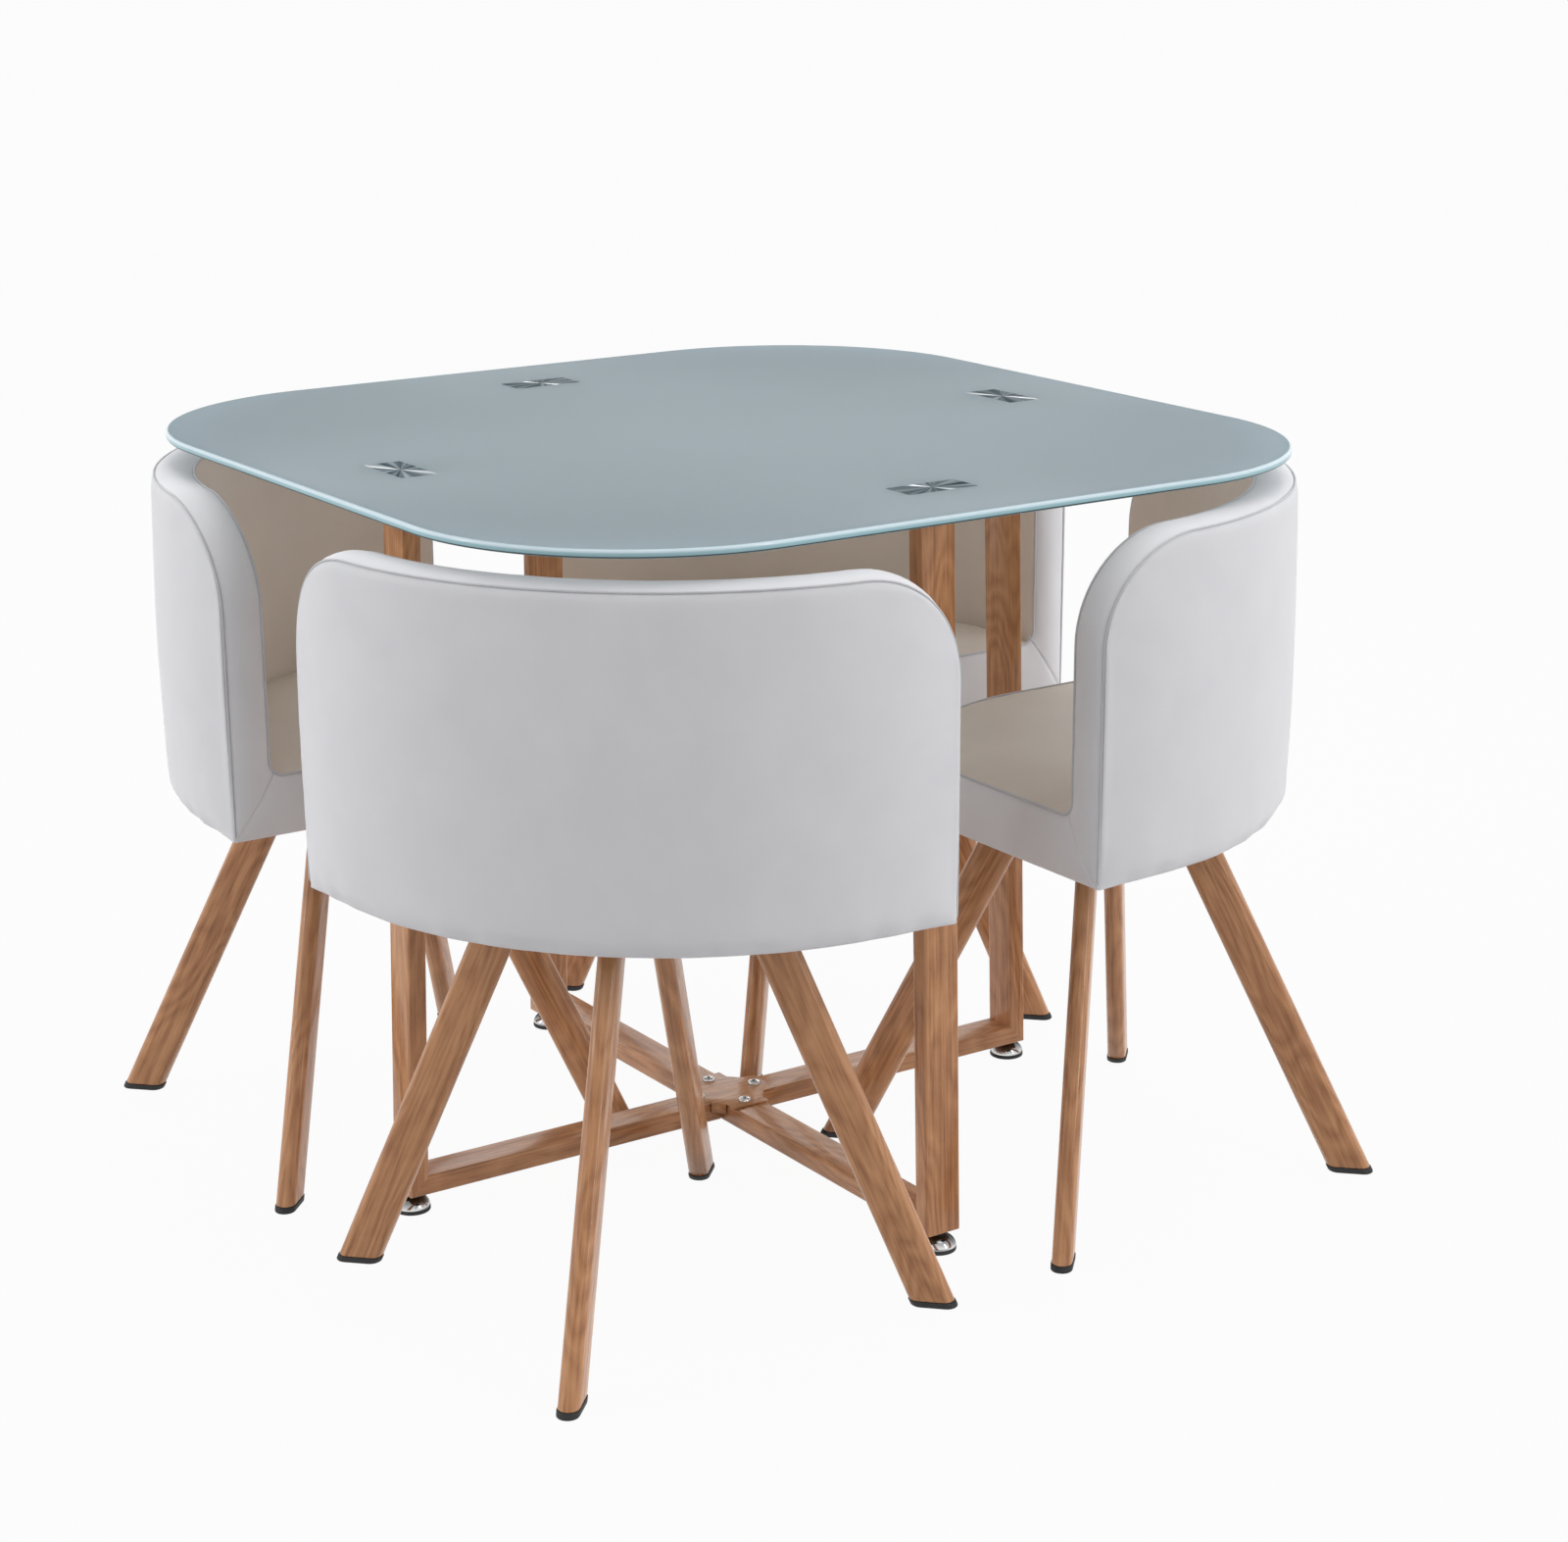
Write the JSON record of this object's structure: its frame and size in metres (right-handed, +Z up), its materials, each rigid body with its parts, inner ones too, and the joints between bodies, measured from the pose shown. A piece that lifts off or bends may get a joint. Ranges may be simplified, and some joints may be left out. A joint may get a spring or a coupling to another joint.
{
  "type": "dining table and chairs set",
  "caption": "Dining table with a rounded frosted glass top on crossed tube frames, and white wrap-round chairs that tuck in under it.",
  "frame": {"origin": "on the floor, under the middle of the table", "axes": "+Z up; +X towards the right chair and +Y towards the back chair, so that the table's legs stand on the diagonals"},
  "size_m": [1.3598, 1.3598, 0.75],
  "materials": {
    "frosted_glass": "8 mm clear float glass, its underside frosted grey",
    "polished_steel": "polished steel",
    "wood_film": "satin brown wood-look film with cathedral grain, over steel tube",
    "white_leather": "white synthetic leather with piped seams, over foam",
    "black_rubber": "matte moulded"
  },
  "bodies": {
    "table": {"glass_top": "frosted_glass", "centre_plate": "wood_film", "bonding_plate_back_right": "polished_steel", "table_leg_back_right": "wood_film", "centre_screw_back_right": "polished_steel", "bonding_plate_back_left": "polished_steel", "table_leg_back_left": "wood_film", "centre_screw_back_left": "polished_steel", "bonding_plate_front_left": "polished_steel", "table_leg_front_left": "wood_film", "centre_screw_front_left": "polished_steel", "bonding_plate_front_right": "polished_steel", "table_leg_front_right": "wood_film", "centre_screw_front_right": "polished_steel"},
    "levelling_foot_back_right": {"levelling_foot_back_right": "polished_steel"},
    "levelling_foot_back_left": {"levelling_foot_back_left": "polished_steel"},
    "levelling_foot_front_left": {"levelling_foot_front_left": "polished_steel"},
    "levelling_foot_front_right": {"levelling_foot_front_right": "polished_steel"},
    "right_chair": {"right_chair_backrest": "white_leather", "right_chair_seat": "white_leather", "right_chair_outer_leg": "wood_film", "right_chair_outer_cap": "black_rubber", "right_chair_left_leg": "wood_film", "right_chair_left_cap": "black_rubber", "right_chair_inner_leg": "wood_film", "right_chair_inner_cap": "black_rubber", "right_chair_right_leg": "wood_film", "right_chair_right_cap": "black_rubber"},
    "back_chair": {"back_chair_backrest": "white_leather", "back_chair_seat": "white_leather", "back_chair_outer_leg": "wood_film", "back_chair_outer_cap": "black_rubber", "back_chair_left_leg": "wood_film", "back_chair_left_cap": "black_rubber", "back_chair_inner_leg": "wood_film", "back_chair_inner_cap": "black_rubber", "back_chair_right_leg": "wood_film", "back_chair_right_cap": "black_rubber"},
    "left_chair": {"left_chair_backrest": "white_leather", "left_chair_seat": "white_leather", "left_chair_outer_leg": "wood_film", "left_chair_outer_cap": "black_rubber", "left_chair_left_leg": "wood_film", "left_chair_left_cap": "black_rubber", "left_chair_inner_leg": "wood_film", "left_chair_inner_cap": "black_rubber", "left_chair_right_leg": "wood_film", "left_chair_right_cap": "black_rubber"},
    "front_chair": {"front_chair_backrest": "white_leather", "front_chair_seat": "white_leather", "front_chair_outer_leg": "wood_film", "front_chair_outer_cap": "black_rubber", "front_chair_left_leg": "wood_film", "front_chair_left_cap": "black_rubber", "front_chair_inner_leg": "wood_film", "front_chair_inner_cap": "black_rubber", "front_chair_right_leg": "wood_film", "front_chair_right_cap": "black_rubber"}
  },
  "joints": [
    {"name": "right_chair_pull_out", "type": "slide", "parent": "table", "child": "right_chair", "axis": [1, 0, 0], "range_m": [0, 0.5]},
    {"name": "back_chair_pull_out", "type": "slide", "parent": "table", "child": "back_chair", "axis": [0, 1, 0], "range_m": [0, 0.5]},
    {"name": "left_chair_pull_out", "type": "slide", "parent": "table", "child": "left_chair", "axis": [-1, 0, 0], "range_m": [0, 0.5]},
    {"name": "front_chair_pull_out", "type": "slide", "parent": "table", "child": "front_chair", "axis": [0, -1, 0], "range_m": [0, 0.5]},
    {"name": "levelling_foot_back_right_screw_out", "type": "slide", "parent": "table", "child": "levelling_foot_back_right", "axis": [0, 0, -1], "range_m": [0, 0.01]},
    {"name": "levelling_foot_back_left_screw_out", "type": "slide", "parent": "table", "child": "levelling_foot_back_left", "axis": [0, 0, -1], "range_m": [0, 0.01]},
    {"name": "levelling_foot_front_left_screw_out", "type": "slide", "parent": "table", "child": "levelling_foot_front_left", "axis": [0, 0, -1], "range_m": [0, 0.01]},
    {"name": "levelling_foot_front_right_screw_out", "type": "slide", "parent": "table", "child": "levelling_foot_front_right", "axis": [0, 0, -1], "range_m": [0, 0.01]}
  ]
}
